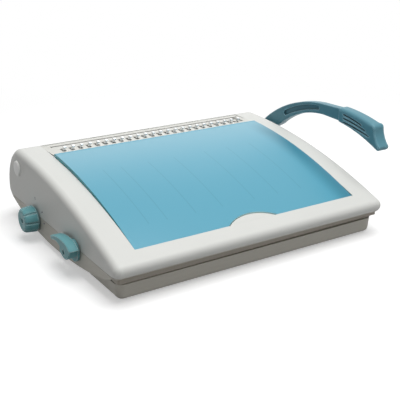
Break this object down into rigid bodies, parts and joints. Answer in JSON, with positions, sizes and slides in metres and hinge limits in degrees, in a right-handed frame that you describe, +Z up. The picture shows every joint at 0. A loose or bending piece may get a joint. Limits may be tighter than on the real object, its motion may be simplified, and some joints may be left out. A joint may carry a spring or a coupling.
{
  "type": "comb binding machine",
  "caption": "Desktop plastic-comb punch and binder: curved housing, translucent hinged lid over a comb tray, row of comb hooks, side punch lever, two side dials and a chip drawer.",
  "frame": {"origin": "under the middle of the machine, on the plane its feet stand on", "axes": "+X along the hook row towards the lever, +Y to the back, +Z up"},
  "size_m": [0.504, 0.394, 0.1776],
  "materials": {
    "casing": "fine moulded texture",
    "aqua": "translucent, satin",
    "cream": "powder coat",
    "teal": "satin",
    "knob": "satin",
    "steel": "zinc plated",
    "hook_steel": "bright plated",
    "bronze": "plain",
    "rubber": "matt",
    "nylon": "natural"
  },
  "bodies": {
    "base": {"upper_casing": "casing", "lower_casing": "casing", "rubber_feet": "rubber", "case_screws": "steel", "comb_tray": "casing", "lid_hinge_pins": "steel", "comb_plate": "cream", "die_plate": "steel", "guide_plate": "steel", "throat_spacers": "steel", "side_frame_left": "steel", "side_frame_right": "steel", "shaft_bushes": "bronze", "pivot_cap": "casing"},
    "cover": {"lid": "aqua"},
    "handle": {"main_shaft": "steel", "handle_arm": "teal", "handle_grip": "teal", "handle_screw": "steel"},
    "punch": {"punch_bar": "steel", "punch_pins": "hook_steel"},
    "hooks": {"hook_bar": "steel", "comb_hooks": "hook_steel"},
    "margin_dial": {"margin_knob": "knob", "margin_spindle": "nylon"},
    "margin_slide": {"depth_slide": "nylon"},
    "size_selector": {"wing_lever": "knob", "wing_spindle": "nylon"},
    "drawer": {"chip_drawer": "casing"}
  },
  "joints": [
    {"name": "handle_lift", "type": "hinge", "parent": "base", "child": "handle", "pos_m": [0, 0.142, 0.094], "axis": [-1, 0, 0], "range_deg": [0, 75]},
    {"name": "punch_travel", "type": "slide", "parent": "base", "child": "punch", "axis": [0, 1, 0], "range_m": [0, 0.00917]},
    {"name": "hook_travel", "type": "slide", "parent": "base", "child": "hooks", "axis": [0, 1, 0], "range_m": [0, 0.00917]},
    {"name": "lid_opening", "type": "hinge", "parent": "base", "child": "cover", "pos_m": [0, 0.085, 0.1203], "axis": [-1, 0, 0], "range_deg": [0, 98]},
    {"name": "margin_turn", "type": "hinge", "parent": "base", "child": "margin_dial", "pos_m": [-0.24, 0.075, 0.0335], "axis": [-1, 0, 0], "range_deg": [0, 180]},
    {"name": "margin_shift", "type": "slide", "parent": "base", "child": "margin_slide", "axis": [0, 1, 0], "range_m": [0, 0.022]},
    {"name": "size_turn", "type": "hinge", "parent": "base", "child": "size_selector", "pos_m": [-0.24, -0.0733, 0.037], "axis": [1, 0, 0], "range_deg": [0, 90]},
    {"name": "drawer_pull", "type": "slide", "parent": "base", "child": "drawer", "axis": [1, 0, 0], "range_m": [0, 0.3]}
  ],
  "couplings": [
    {"joint": "punch_travel", "follows": "handle_lift", "m_per_rad": 0.007},
    {"joint": "hook_travel", "follows": "handle_lift", "m_per_rad": 0.007},
    {"joint": "margin_shift", "follows": "margin_turn", "m_per_rad": 0.007}
  ]
}
